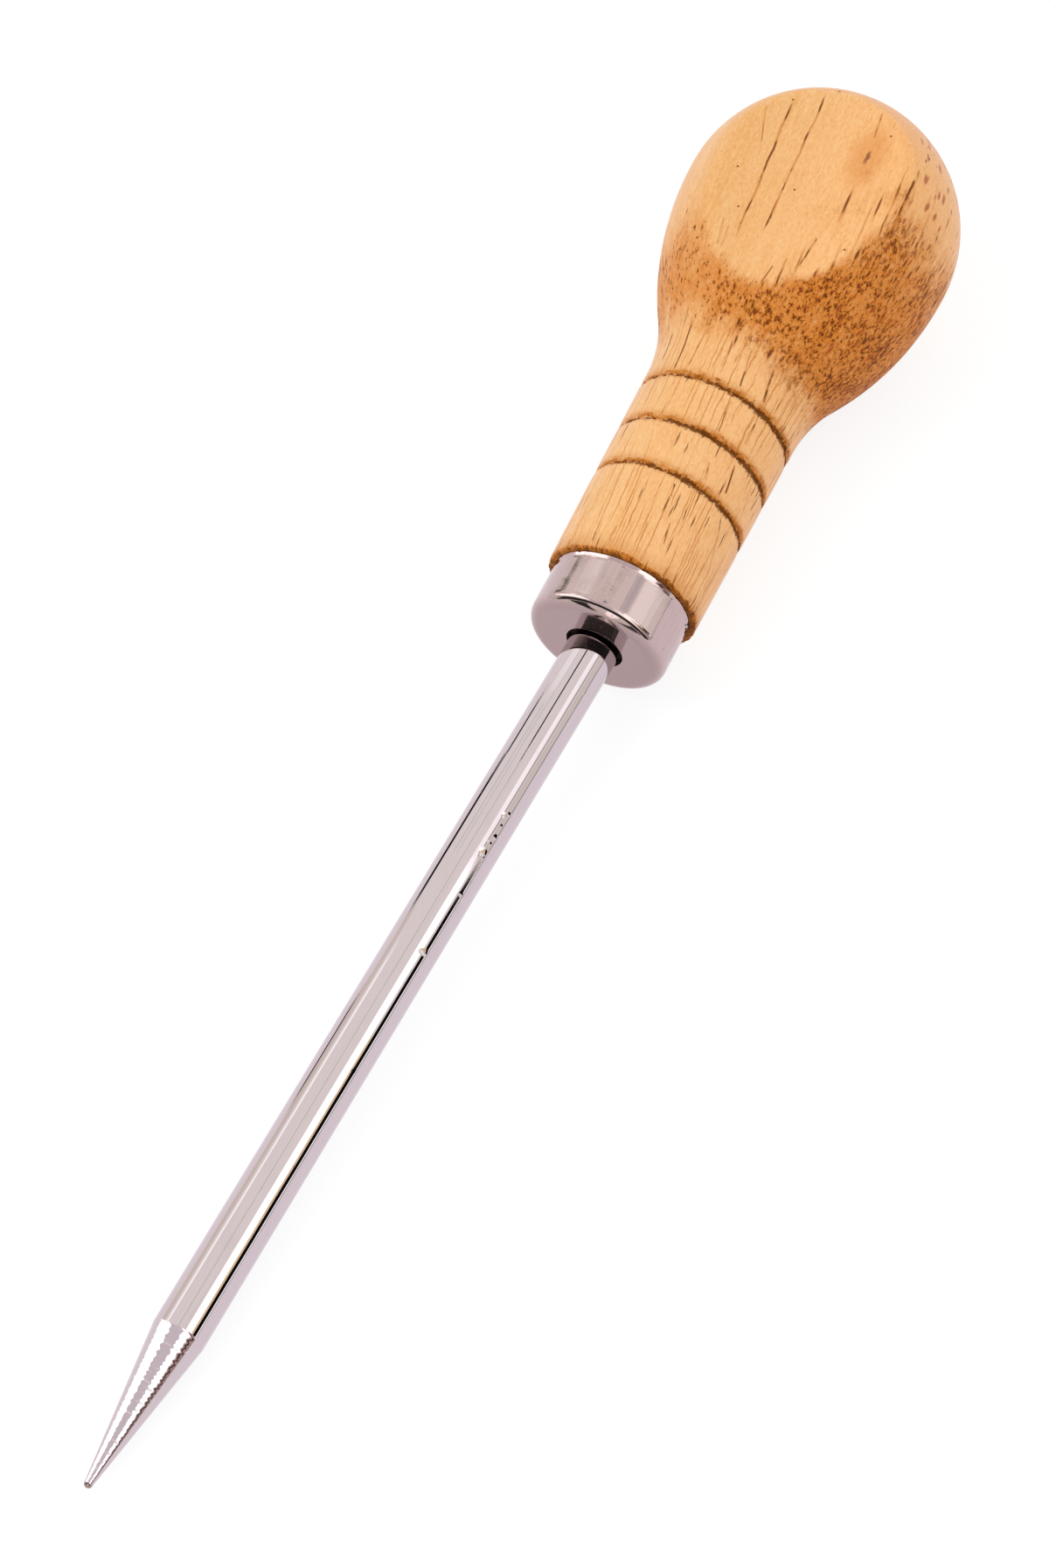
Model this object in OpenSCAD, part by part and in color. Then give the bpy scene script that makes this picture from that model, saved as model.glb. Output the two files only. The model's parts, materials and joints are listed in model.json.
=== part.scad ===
// Bradawl: a turned wooden handle with two flats, a pressed steel ferrule and a round steel blade.
// It lies as it does on a bench, on the facet of one flat and on the bar where the point starts.
// Each piece is drawn upright, butt up, with the ferrule's face at height 0, and is then laid down.

/* [Blade] */
// Diameter of the round bar
bar_d = 6; // [4:0.1:7]
// Length of the parallel bar in front of the ferrule
bar_len = 93; // [60:0.5:140]
// Length of the conical point
point_len = 18.6; // [10:0.2:30]
// Diameter of the ball that blunts the point
tip_d = 1; // [0.4:0.1:2]
// How far in front of the ferrule's face the bar is drawn down to its shank
shank_lead = 0.3; // [0.1:0.1:1]
// How much less than the bar's radius the shank has
shank_step = 0.3; // [0.2:0.05:0.5]
// Length of round shank behind the ferrule's face
shank_len = 2; // [1.4:0.1:4]
// Length of the square tang that is driven into the wood
tang_len = 34; // [20:1:45]
// Width of the tang at its root
tang_root_w = 3.7; // [3:0.1:4.4]
// Width of the tang at its end
tang_end_w = 2.2; // [1.5:0.1:3]
// How far inside the shank's radius the tang's corners stay
corner_inset = 0.1; // [0.05:0.05:0.3]
// Lean of the blade to one side of the handle's axis, in degrees
blade_lean = 2.8; // [0:0.1:4]

/* [Ferrule] */
// Outer diameter of the cup
ferrule_d = 16.8; // [14:0.1:18]
// Length from the cup's face to its lip
ferrule_len = 7.2; // [5:0.1:12]
// Thickness of the sheet
ferrule_wall = 0.8; // [0.5:0.1:1.2]
// Outside radius of the bend between face and wall
ferrule_bend_r = 1.4; // [1.3:0.1:2.5]
// How far the cut lip flares outwards
lip_flare = 0.15; // [0.05:0.05:0.3]
// Length of the flared lip
lip_len = 0.5; // [0.3:0.1:1]

/* [Handle] */
// Length from the shoulder behind the ferrule to the butt
handle_len = 72.6; // [60:0.2:95]
// Diameter of the neck at the shoulder
neck_d = 18.5; // [17.5:0.1:21]
// Diameter of the neck where it starts to swell
neck_back_d = 19.3; // [17.5:0.1:22]
// Largest diameter of the bulb
bulb_d = 33.9; // [29:0.1:40]
// Radius of the bulb's long side, from the hollow to the widest section
side_r = 40; // [30:0.5:60]
// Radius of the hollow between the neck and the bulb
cove_r = 20.5; // [8:0.5:30]
// Distance across the two flats
flats_across = 25.3; // [23:0.1:28]
// How far behind the front of each flat its eased facet starts
flat_ease = 2.5; // [1:0.1:4]
// Chamfer on the edge of the shoulder
shoulder_chamfer = 0.4; // [0.2:0.1:1]

/* [Grooves] */
// Number of grooves round the neck
groove_count = 3; // [1:1:4]
// Distance from the shoulder to the first groove
groove_first = 12.2; // [4:0.2:16]
// Distance from one groove to the next
groove_pitch = 6.4; // [2:0.2:7]
// Width of a groove at the surface
groove_w = 1.2; // [0.4:0.1:2]
// Depth of a groove
groove_depth = 0.6; // [0.2:0.1:1.2]

/* [Fit] */
// Gap round the bar in the ferrule's hole
hole_gap = 0.3; // [0.1:0.05:0.6]
// Gap between the ferrule and the wood inside it
seat_gap = 0.05; // [0.02:0.01:0.2]
// Gap between the tang and the wood round it
tang_gap = 0.05; // [0.02:0.01:0.2]

/* [Hidden] */
$fn = 96;

bar_r = bar_d / 2;
shank_r = bar_r - shank_step;
tip_r = tip_d / 2;
blade_len = bar_len + point_len;

ferrule_r = ferrule_d / 2;
cavity_r = ferrule_r - ferrule_wall;
cavity_bend_r = ferrule_bend_r - ferrule_wall;
hole_r = bar_r + hole_gap;

neck_r = neck_d / 2;
neck_back_r = neck_back_d / 2;
bulb_r = bulb_d / 2;
flat_offset = flats_across / 2;

// Heights along the handle: the shoulder, the widest section and the butt
shoulder_z = ferrule_len + seat_gap;
butt_z = shoulder_z + handle_len;
wide_z = butt_z - bulb_r;

// The hollow and the bulb's side are two arcs, tangent to the neck's end, to each other and to the half ball
arcs_r = cove_r + side_r;
arcs_rise = neck_back_r + cove_r - bulb_r + side_r;
arcs_run = sqrt(pow(arcs_r, 2) - pow(arcs_rise, 2));
swell_z = wide_z - arcs_run;
join_r = neck_back_r + cove_r - arcs_rise * cove_r / arcs_r;
// Where the line through the two arcs' centres meets the handle's axis
centres_z = swell_z + (neck_back_r + cove_r) * arcs_run / arcs_rise;
// How far the hollow's arc laps the bulb's side and the neck laps the hollow, so that they cross cleanly
arc_lap = 0.002;
neck_lap = 1;

// Where a flat starts, on the hollow or on the bulb's side
flat_on_cove_z = swell_z + sqrt(pow(cove_r, 2) - pow(neck_back_r + cove_r - flat_offset, 2));
flat_on_side_z = wide_z - sqrt(pow(side_r, 2) - pow(flat_offset - bulb_r + side_r, 2));
flat_z = flat_offset < join_r ? flat_on_cove_z : flat_on_side_z;
// Height where a flat's facet starts, and length of the cut that makes it, which ends in the open
ease_z = flat_z + flat_ease;
ease_reach = 4 * flat_ease;

// The tool rests on the flat's facet and on the bar's front end, or on the tip of a slender point
bar_slope = (flat_offset - bar_r) / (ease_z + bar_len * cos(blade_lean));
tip_slope = (flat_offset - tip_r) / (ease_z + (blade_len - tip_r) * cos(blade_lean));
rest_tilt = atan(min(bar_slope, tip_slope));
rest_lift = flat_offset * cos(rest_tilt) - ease_z * sin(rest_tilt);
butt_x = wide_z * cos(rest_tilt) + bulb_r;
tip_x = -(blade_len - tip_r) * cos(blade_lean) * cos(rest_tilt) - tip_r;

// Radius of the tapered neck at a height
function neck_r_at(z) =
    neck_r + (neck_back_r - neck_r) * (z - shoulder_z) / (swell_z - shoulder_z);

// Puts an upright piece on the bench, centred along X, with one flat down
module lay_down() {
    translate([-(butt_x + tip_x) / 2, 0, rest_lift])
        rotate([0, 90 - rest_tilt, 0])
            children();
}

// Turns the blade, or its pocket, about the centre of the ferrule's face
module lean() {
    rotate([blade_lean, 0, 0]) children();
}

// Half section of a cup or plug with a rounded front edge
module rounded_section(r, edge_r, front, back) {
    translate([0, front]) square([r - edge_r, back - front]);
    translate([0, front + edge_r]) square([r, back - front - edge_r]);
    translate([r - edge_r, front + edge_r]) circle(edge_r);
}

// One pair of the tang's sloping sides, grown all round by a gap
module tang_wedge(gap) {
    root_half = tang_root_w / 2 + gap;
    end_half = tang_end_w / 2 + gap;
    rotate([90, 0, 0])
        linear_extrude(bar_d + 2 * gap, center = true)
            polygon([
                [-root_half, 0], [root_half, 0], [root_half, shank_len],
                [end_half, shank_len + tang_len + gap], [-end_half, shank_len + tang_len + gap],
                [-root_half, shank_len]
            ]);
}

// Square tang forged from the round shank, or the pocket that it makes, started inside the shank
module tang(gap) {
    intersection() {
        tang_wedge(gap);
        rotate([0, 0, 90]) tang_wedge(gap);
        cylinder(r = shank_r - corner_inset + gap, h = shank_len + tang_len + gap);
    }
}

// Half section of the shank, the bar, its point and the ball at the tip
module blade_section() {
    polygon([
        [0, tip_r - blade_len], [tip_r, tip_r - blade_len], [bar_r, -bar_len],
        [bar_r, -shank_lead], [shank_r, -shank_lead], [shank_r, shank_len], [0, shank_len]
    ]);
    intersection() {
        translate([0, tip_r - blade_len]) circle(tip_r);
        translate([0, -blade_len]) square(tip_d);
    }
}

// Half section of the handle: plug, tapered neck, hollow, bulb's side and half ball
module handle_section() {
    rounded_section(cavity_r - seat_gap, cavity_bend_r, ferrule_wall + seat_gap, shoulder_z);
    polygon([
        [0, shoulder_z], [neck_r - shoulder_chamfer, shoulder_z],
        [neck_r_at(shoulder_z + shoulder_chamfer), shoulder_z + shoulder_chamfer],
        [neck_r_at(swell_z + neck_lap), swell_z + neck_lap], [0, swell_z + neck_lap]
    ]);
    difference() {
        polygon([[0, swell_z], [neck_back_r + cove_r, swell_z], [0, centres_z]]);
        translate([neck_back_r + cove_r, swell_z]) circle(cove_r + arc_lap);
    }
    intersection() {
        translate([bulb_r - side_r, wide_z]) circle(side_r);
        translate([0, swell_z]) square([bulb_r, wide_z - swell_z]);
    }
    intersection() {
        translate([0, wide_z]) circle(bulb_r);
        translate([0, wide_z]) square(bulb_r);
    }
}

// The wood taken off two sides of the bulb, with a facet at the slope of the bench in front of each flat
module flat_cuts() {
    for (turn = [0, 180])
        rotate([90, 0, turn])
            linear_extrude(2 * bulb_d, center = true)
                polygon([
                    [flat_offset, butt_z], [flat_offset, ease_z],
                    [flat_offset - ease_reach * tan(rest_tilt), ease_z - ease_reach],
                    [bulb_d, ease_z - ease_reach], [bulb_d, butt_z]
                ]);
}

module groove_cuts() {
    for (i = [0 : groove_count - 1]) {
        groove_z = shoulder_z + groove_first + i * groove_pitch;
        rotate_extrude()
            translate([neck_r_at(groove_z), groove_z])
                polygon([[-groove_depth, 0], [groove_depth, -groove_w], [groove_depth, groove_w]]);
    }
}

module handle() {
    color([0.87, 0.64, 0.38]) lay_down()
        difference() {
            rotate([0, 0, 90]) rotate_extrude() handle_section();
            flat_cuts();
            groove_cuts();
            lean() {
                cylinder(r = shank_r + tang_gap, h = shank_len + tang_gap);
                tang(tang_gap);
            }
        }
}

module ferrule() {
    color([0.78, 0.77, 0.78]) lay_down()
        rotate_extrude()
            difference() {
                union() {
                    rounded_section(ferrule_r, ferrule_bend_r, 0, ferrule_len);
                    polygon([
                        [cavity_r, ferrule_len - lip_len], [ferrule_r, ferrule_len - lip_len],
                        [ferrule_r + lip_flare, ferrule_len], [cavity_r, ferrule_len]
                    ]);
                }
                rounded_section(cavity_r, cavity_bend_r, ferrule_wall, 2 * ferrule_len);
                square([2 * hole_r, 2 * ferrule_wall], center = true);
            }
}

module blade() {
    color([0.82, 0.81, 0.82]) lay_down() lean() {
        rotate_extrude() blade_section();
        tang(0);
    }
}

handle();
ferrule();
blade();
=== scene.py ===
"""Bradawl lying on a white bench: turned wooden handle, pressed steel ferrule and plated blade."""
import functools
import json
import logging
import math
from dataclasses import dataclass, field
from enum import Enum
from typing import Any, Callable

import bmesh
import bpy
from bmesh.types import BMesh
from bpy.types import Material, NodeSocket, World
from mathutils import Matrix, Vector, noise


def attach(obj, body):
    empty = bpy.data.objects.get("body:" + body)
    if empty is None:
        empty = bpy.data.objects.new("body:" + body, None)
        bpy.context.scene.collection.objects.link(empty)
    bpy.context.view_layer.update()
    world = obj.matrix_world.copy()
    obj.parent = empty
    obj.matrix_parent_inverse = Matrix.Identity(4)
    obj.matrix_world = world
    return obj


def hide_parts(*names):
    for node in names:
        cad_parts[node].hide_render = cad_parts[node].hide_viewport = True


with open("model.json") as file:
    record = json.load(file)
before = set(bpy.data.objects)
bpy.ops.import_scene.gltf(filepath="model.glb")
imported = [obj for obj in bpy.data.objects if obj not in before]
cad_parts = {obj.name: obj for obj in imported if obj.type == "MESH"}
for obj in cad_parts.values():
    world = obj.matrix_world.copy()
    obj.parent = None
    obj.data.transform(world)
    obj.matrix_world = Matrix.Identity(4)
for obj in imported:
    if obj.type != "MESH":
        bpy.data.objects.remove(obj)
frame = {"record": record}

LOG = logging.getLogger("bradawl")
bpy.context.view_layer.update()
MM = 0.001
# Millimetres within which two points are one, and within which a point is on an edge
MERGE_DIST = 1e-5
NEAR = 0.01
SHARP_ANGLE = math.radians(50)
SLOPE = "slope"
Point = tuple[float, float]
Triple = tuple[float, float, float]
Colour = Triple


class Node(Enum):
    """The three pieces of the tool, by the names of their nodes in the frame."""

    HANDLE = "handle"
    FERRULE = "ferrule"
    BLADE = "blade"


class Slot(Enum):
    """The record's material slots."""

    WOOD = "handle_wood"
    FERRULE = "ferrule_steel"
    BLADE = "blade_steel"


# Where the tool lies


@dataclass(frozen=True)
class ToolFrame:
    """Frames of the tool in millimetres, with Z from the ferrule's face to the butt and X down."""

    handle: Matrix
    blade: Matrix
    flat_offset: float
    bar_r: float
    lean: float

    @classmethod
    def from_record(cls, record: dict[str, Any], shank_lead: float) -> "ToolFrame":
        """Works the frames out from the record's mounts.

        Args:
            record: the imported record.
            shank_lead: distance between the ferrule's face and the bar's mount, in millimetres.
        Returns:
            The frames of the handle and the blade.
        """
        mounts = {mount["name"]: mount for mount in record["mounts"]}
        bar, upper, lower = mounts["bar"], mounts["upper_flat"], mounts["lower_flat"]
        to_tip = Vector(bar["axis"]).normalized()
        reach = (bar["dims"]["length_mm"] / 2 + shank_lead) * MM
        face_centre = Vector(bar["pos_m"]) - to_tip * reach
        down = -Vector(upper["axis"]).normalized()
        along = down.cross(Vector((0, 1, 0)))
        across = Vector(lower["pos_m"]) - Vector(upper["pos_m"])
        return cls(
            handle=cls.matrix(face_centre, down, along),
            blade=cls.matrix(face_centre, down, -to_tip),
            flat_offset=across.dot(down) / 2 / MM,
            bar_r=bar["dims"]["r_mm"],
            lean=along.angle(-to_tip),
        )

    @staticmethod
    def matrix(origin: Vector, x_axis: Vector, z_axis: Vector) -> Matrix:
        """Matrix from a piece's own millimetres to the row frame, by its origin in metres and two axes."""
        turn = Matrix((x_axis, z_axis.cross(x_axis), z_axis)).transposed()
        return Matrix.Translation(origin) @ turn.to_4x4() @ Matrix.Scale(MM, 4)


# Turned meshes


class Section:
    """Half section of a turned piece, as points of radius and height drawn from one end to the other."""

    def __init__(self, radius: float, height: float) -> None:
        """Starts the section at one point."""
        self.points: list[Point] = [(radius, height)]

    def line_to(self, radius: float, height: float, step: float = math.inf) -> "Section":
        """Draws a straight line.

        Args:
            radius: radius of the line's end.
            height: height of the line's end.
            step: largest distance between points.
        Returns:
            The section, for the next line or arc.
        """
        start = self.points[-1]
        count = max(1, math.ceil(math.dist(start, (radius, height)) / step))
        for i in range(1, count + 1):
            t = i / count
            self.points.append((start[0] + (radius - start[0]) * t, start[1] + (height - start[1]) * t))
        return self

    def arc_to(self, centre: Point, radius: float, height: float, count: int) -> "Section":
        """Draws an arc the short way round a centre.

        Args:
            centre: radius and height of the arc's centre.
            radius: radius of the arc's end.
            height: height of the arc's end.
            count: number of steps.
        Returns:
            The section, for the next line or arc.
        """
        start = self.points[-1]
        first = math.atan2(start[1] - centre[1], start[0] - centre[0])
        sweep = math.atan2(height - centre[1], radius - centre[0]) - first
        sweep = (sweep + math.pi) % math.tau - math.pi
        size = math.dist(start, centre)
        for i in range(1, count + 1):
            angle = first + sweep * i / count
            self.points.append((centre[0] + size * math.cos(angle), centre[1] + size * math.sin(angle)))
        return self

    def turn(self, segments: int, shape: Callable[[Vector], Vector], closed: bool = False) -> BMesh:
        """Spins the section round the Z axis into a closed mesh.

        Args:
            segments: number of steps round the axis.
            shape: gives the place of a turned point in the finished piece.
            closed: joins the section's last point to its first, for a ring.
        Returns:
            The mesh, with its faces outwards.
        """
        mesh = bmesh.new()
        verts = [mesh.verts.new((radius, 0, height)) for radius, height in self.points]
        pairs = list(zip(verts, verts[1:]))
        if closed:
            pairs.append((verts[-1], verts[0]))
        edges = [mesh.edges.new(pair) for pair in pairs]
        bmesh.ops.spin(
            mesh, geom=verts + edges, cent=(0, 0, 0), axis=(0, 0, 1), angle=math.tau,
            steps=segments, use_merge=True,
        )
        bmesh.ops.remove_doubles(mesh, verts=mesh.verts, dist=MERGE_DIST)
        bmesh.ops.recalc_face_normals(mesh, faces=mesh.faces)
        for vert in mesh.verts:
            vert.co = shape(vert.co)
        mesh.normal_update()
        return mesh


def soft_min(a: float, b: float, ease: float) -> float:
    """Smaller of two numbers, rounded where they differ by less than the ease."""
    t = min(1.0, max(0.0, 0.5 + 0.5 * (b - a) / ease))
    return b + (a - b) * t - ease * t * (1 - t)


@dataclass(frozen=True)
class Wobble:
    """Smooth unevenness, by the size of its bumps, a seed and its greatest amount."""

    size: float
    seed: float
    amount: float

    def at(self, point: Vector) -> float:
        """Unevenness at a point, between about minus and plus the amount."""
        return noise.noise(point / self.size + Vector((self.seed,) * 3)) * self.amount


def add_object(name: str, data: bpy.types.ID) -> bpy.types.Object:
    """Adds an object to the scene.

    Args:
        name: the object's name.
        data: its mesh, light or camera.
    Returns:
        The object.
    """
    added = bpy.data.objects.new(name, data)
    bpy.context.scene.collection.objects.link(added)
    return added


def finish_piece(
    mesh: BMesh, node: Node, place: Matrix, material: Material, slot: Slot
) -> None:
    """Turns a mesh into a finished piece that stands for its node.

    Args:
        mesh: the mesh in the piece's own millimetres.
        node: the node that the piece replaces.
        place: matrix to the row frame.
        material: the piece's material.
        slot: the record's slot for the material; not used.
    """
    for face in mesh.faces:
        face.smooth = True
    for edge in mesh.edges:
        edge.smooth = edge.calc_face_angle(0.0) < SHARP_ANGLE
    mesh.transform(place)
    data = bpy.data.meshes.new(node.value + "_dressed")
    mesh.to_mesh(data)
    mesh.free()
    data.materials.append(material)
    piece = add_object(data.name, data)
    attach(piece, "root")
    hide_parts(node.value)
    LOG.info("%s: %d faces", piece.name, len(data.polygons))


# Node trees


@dataclass(frozen=True)
class Texture:
    """Noise, by its bumps per millimetre along each axis, its octaves of detail and their strength."""

    cells: Triple
    detail: float = 3.0
    rough: float = 0.6


class Value:
    """A number in a node tree that Python's operators work on by adding Math nodes."""

    def __init__(self, tree: "Tree", socket: NodeSocket) -> None:
        """Keeps the tree and the socket that gives the number."""
        self.tree = tree
        self.socket = socket

    def __add__(self, other: "Number") -> "Value":
        """Sum."""
        return self.tree.math("ADD", self, other)

    __radd__ = __add__

    def __sub__(self, other: "Number") -> "Value":
        """Difference."""
        return self.tree.math("SUBTRACT", self, other)

    def __rsub__(self, other: "Number") -> "Value":
        """Difference from a plain number."""
        return self.tree.math("SUBTRACT", other, self)

    def __mul__(self, other: "Number") -> "Value":
        """Product."""
        return self.tree.math("MULTIPLY", self, other)

    __rmul__ = __mul__

    def __truediv__(self, other: "Number") -> "Value":
        """Quotient."""
        return self.tree.math("DIVIDE", self, other)

    def __pow__(self, other: "Number") -> "Value":
        """Power."""
        return self.tree.math("POWER", self, other)

    def __abs__(self) -> "Value":
        """Size without sign."""
        return self.tree.math("ABSOLUTE", self)

    def most(self, other: "Number") -> "Value":
        """Larger of two numbers."""
        return self.tree.math("MAXIMUM", self, other)

    def rise(self, low: "Number", high: "Number") -> "Value":
        """Smooth step from 0 at low to 1 at high, or down again if low is the larger."""
        node = self.tree.node(
            "MapRange",
            {"interpolation_type": "SMOOTHSTEP"},
            {"Value": self, "From Min": low, "From Max": high},
        )
        return Value(self.tree, self.tree.output(node))


Number = float | Value


class Tree:
    """A node tree with one way to add nodes and short ways to add the common ones."""

    def __init__(self, owner: Material | World) -> None:
        """Empties the owner's node tree.

        Args:
            owner: the material or world.
        """
        owner.use_nodes = True
        self.nodes = owner.node_tree.nodes
        self.links = owner.node_tree.links
        self.nodes.clear()

    def node(
        self, kind: str, settings: dict[str, Any] | None = None, inputs: dict[str | int, Any] | None = None
    ) -> bpy.types.Node:
        """Adds a node.

        Args:
            kind: the node's type, without its prefix.
            settings: attributes to set first.
            inputs: values or links of sockets, by name or by number among those in use.
        Returns:
            The node.
        """
        node = self.nodes.new("ShaderNode" + kind)
        for name, value in (settings or {}).items():
            setattr(node, name, value)
        in_use = [socket for socket in node.inputs if socket.enabled]
        for name, value in (inputs or {}).items():
            socket = in_use[name] if isinstance(name, int) else next(s for s in in_use if s.name == name)
            if isinstance(value, Value):
                self.links.new(value.socket, socket)
            elif isinstance(value, NodeSocket):
                self.links.new(value, socket)
            elif socket.type == "RGBA" and len(value) == 3:
                socket.default_value = (*value, 1.0)
            else:
                socket.default_value = value
        return node

    @staticmethod
    def output(node: bpy.types.Node, name: str = "") -> NodeSocket:
        """First output in use, or the one of a name."""
        return next(s for s in node.outputs if s.enabled and name in ("", s.name))

    def math(self, operation: str, *values: Number) -> Value:
        """One Math node."""
        node = self.node("Math", {"operation": operation}, dict(enumerate(values)))
        return Value(self, node.outputs[0])

    def vector(self, operation: str, *values: Any) -> NodeSocket:
        """One Vector Math node that gives a vector."""
        node = self.node("VectorMath", {"operation": operation}, dict(enumerate(values)))
        return self.output(node, "Vector")

    def dot(self, a: Any, b: Any) -> Value:
        """Dot product of two vectors."""
        node = self.node("VectorMath", {"operation": "DOT_PRODUCT"}, {0: a, 1: b})
        return Value(self, self.output(node, "Value"))

    def mix(self, factor: Number, a: Any, b: Any) -> NodeSocket:
        """One Mix node on colours."""
        return self.output(self.node("Mix", {"data_type": "RGBA"}, {"Factor": factor, "A": a, "B": b}))

    def local(self, place: Matrix) -> NodeSocket:
        """A piece's own millimetres, by their matrix to the row frame, from Object coordinates."""
        inputs = {
            "Vector": self.node("TexCoord").outputs["Object"],
            "Location": place.translation,
            "Rotation": place.to_euler(),
            "Scale": place.to_scale(),
        }
        return self.output(self.node("Mapping", {"vector_type": "TEXTURE"}, inputs))

    def parts(self, vector: NodeSocket) -> tuple[Value, Value, Value]:
        """The three numbers of a vector."""
        node = self.node("SeparateXYZ", inputs={"Vector": vector})
        return tuple(Value(self, socket) for socket in node.outputs)

    def noise_node(self, vector: NodeSocket, texture: Texture) -> bpy.types.Node:
        """One Noise node on coordinates in millimetres, which gives a number and a colour."""
        inputs = {
            "Vector": self.vector("MULTIPLY", vector, texture.cells),
            "Scale": 1.0,
            "Detail": texture.detail,
            "Roughness": texture.rough,
        }
        return self.node("TexNoise", None, inputs)

    def noise(self, vector: NodeSocket, texture: Texture) -> Value:
        """Noise between 0 and 1."""
        return Value(self, self.noise_node(vector, texture).outputs[0])

    def swing(self, vector: NodeSocket, texture: Texture) -> Value:
        """Noise between -0.5 and 0.5."""
        return self.noise(vector, texture) - 0.5

    def rays(self, *kinds: str) -> Value:
        """1 for rays of any of these kinds, and 0 for others."""
        path = self.node("LightPath")
        return functools.reduce(Value.most, (Value(self, path.outputs[kind]) for kind in kinds))

    def attribute(self, name: str) -> Value:
        """A number kept on the mesh."""
        return Value(self, self.node("Attribute", {"attribute_name": name}).outputs["Fac"])

    def bump(self, height: Value, distance: float) -> NodeSocket:
        """Normal of a surface raised by a height."""
        return self.output(self.node("Bump", None, {"Height": height, "Distance": distance, "Strength": 1.0}))

    def surface(self, inputs: dict[str | int, Any]) -> None:
        """Ends a material with one principled surface of these inputs."""
        surface = self.output(self.node("BsdfPrincipled", None, inputs))
        self.node("OutputMaterial", None, {"Surface": surface})


# Finishes


def grey(level: float) -> Colour:
    """A colour without hue."""
    return (level,) * 3


@dataclass(frozen=True)
class Streak:
    """One dark pore line on a surface, from a front end to a back end, in millimetres across and along."""

    front_x: float
    front_z: float
    back_x: float
    back_z: float
    width: float
    depth: float
    stain: float = 1.6

    def mask(self, across: Value, along: Value) -> Value:
        """Mask of the line and of the stained wood beside it.

        Args:
            across: coordinate across the line.
            along: coordinate along the line.
        Returns:
            The mask, highest in the middle of the line.
        """
        half = (self.back_z - self.front_z) / 2
        past = along - (self.front_z + half)
        slant = (self.back_x - self.front_x) / (2 * half)
        off = abs(across - (self.front_x + self.back_x) / 2 - past * slant)
        length = (abs(past) / half).rise(1.0, 0.8)
        return off.rise(self.width * self.stain, 0.0) * length * self.depth


@dataclass(frozen=True)
class Pores:
    """One kind of open pore, by its number per millimetre along each axis, its thickness and its core."""

    cells: Triple
    least: float
    spread: float
    core: float = 0.45


@dataclass(frozen=True)
class BurnsAndShade:
    """Masks of the burnt grooves with painted shade at their bottoms and their singed halos, of the painted
    shadow line and the orange band behind the ferrule, and of their crumbs.
    """

    groove: Value
    groove_halo: Value
    rim_shadow: Value
    rim_halo: Value
    crumbs: Value


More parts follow.
